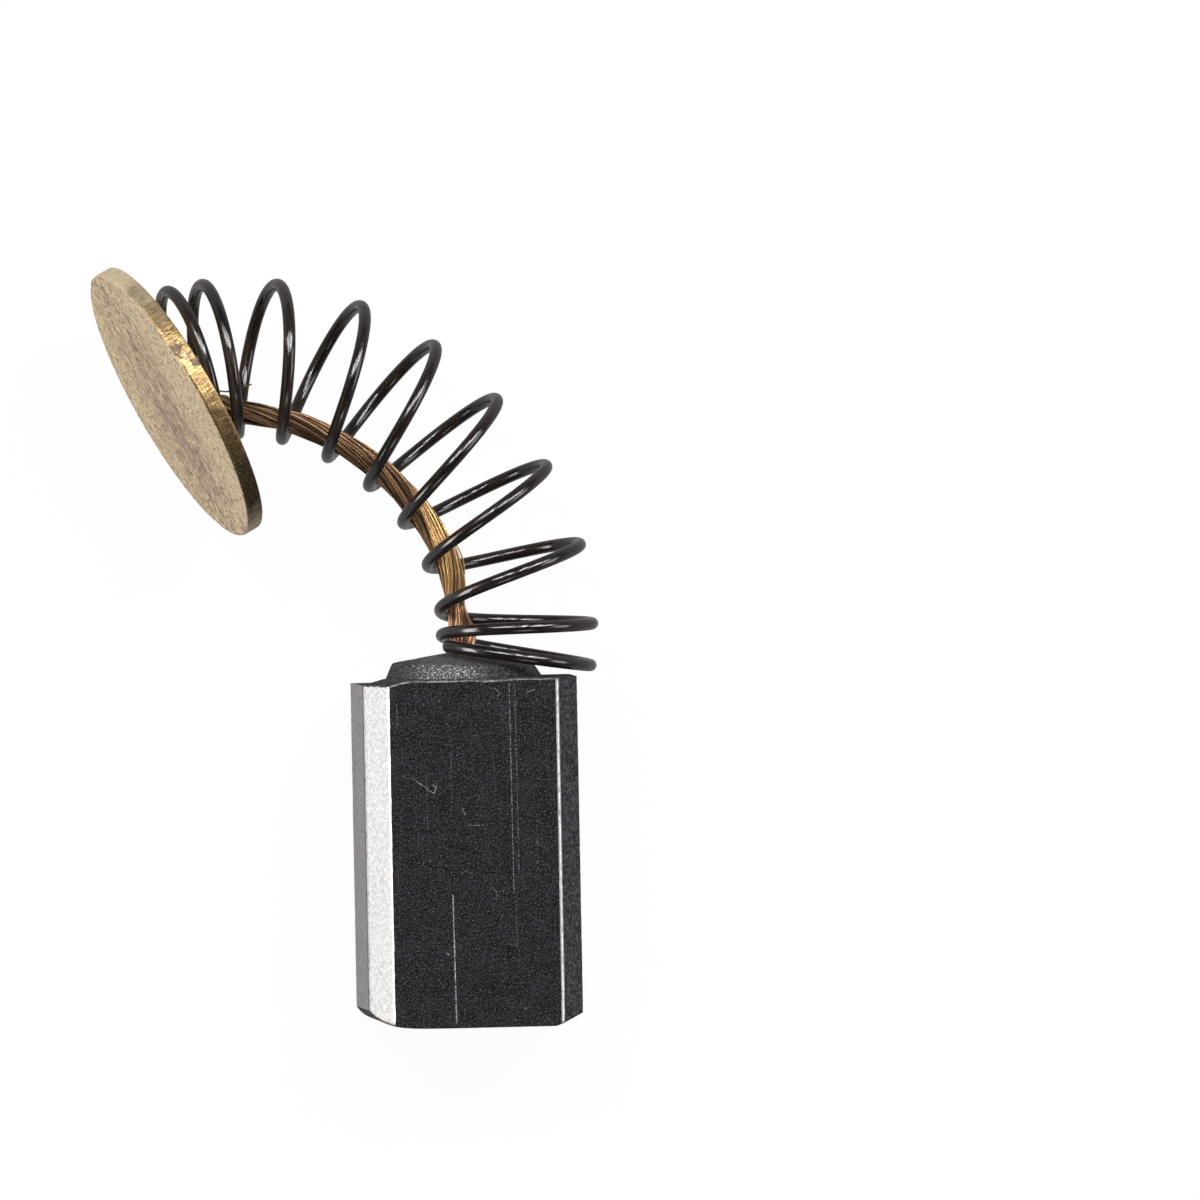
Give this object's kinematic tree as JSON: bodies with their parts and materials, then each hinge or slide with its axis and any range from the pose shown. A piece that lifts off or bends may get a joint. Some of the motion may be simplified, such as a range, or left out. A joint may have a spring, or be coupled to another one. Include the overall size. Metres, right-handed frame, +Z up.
{
  "type": "carbon brush",
  "caption": "Carbon brush: a chamfered carbon block with a crown, a copper pigtail inside a bent closed-end coil spring, and a round brass contact disc at the free end.",
  "frame": {"origin": "middle of the broad guide face that the carbon block lies on", "axes": "+Z up, away from the surface that the brush lies on; +Y along the block from its contact end to its crown; +X to the right when the block is seen from above with its crown away from the viewer"},
  "size_m": [0.0164, 0.0249, 0.0097],
  "materials": {
    "carbon": "matte",
    "spring_steel": "satin",
    "copper_strand": "satin",
    "disc_brass": "matte"
  },
  "bodies": {
    "root": {"carbon_block": "carbon", "spring": "spring_steel", "pigtail": "copper_strand", "contact_disc": "disc_brass"}
  },
  "joints": []
}
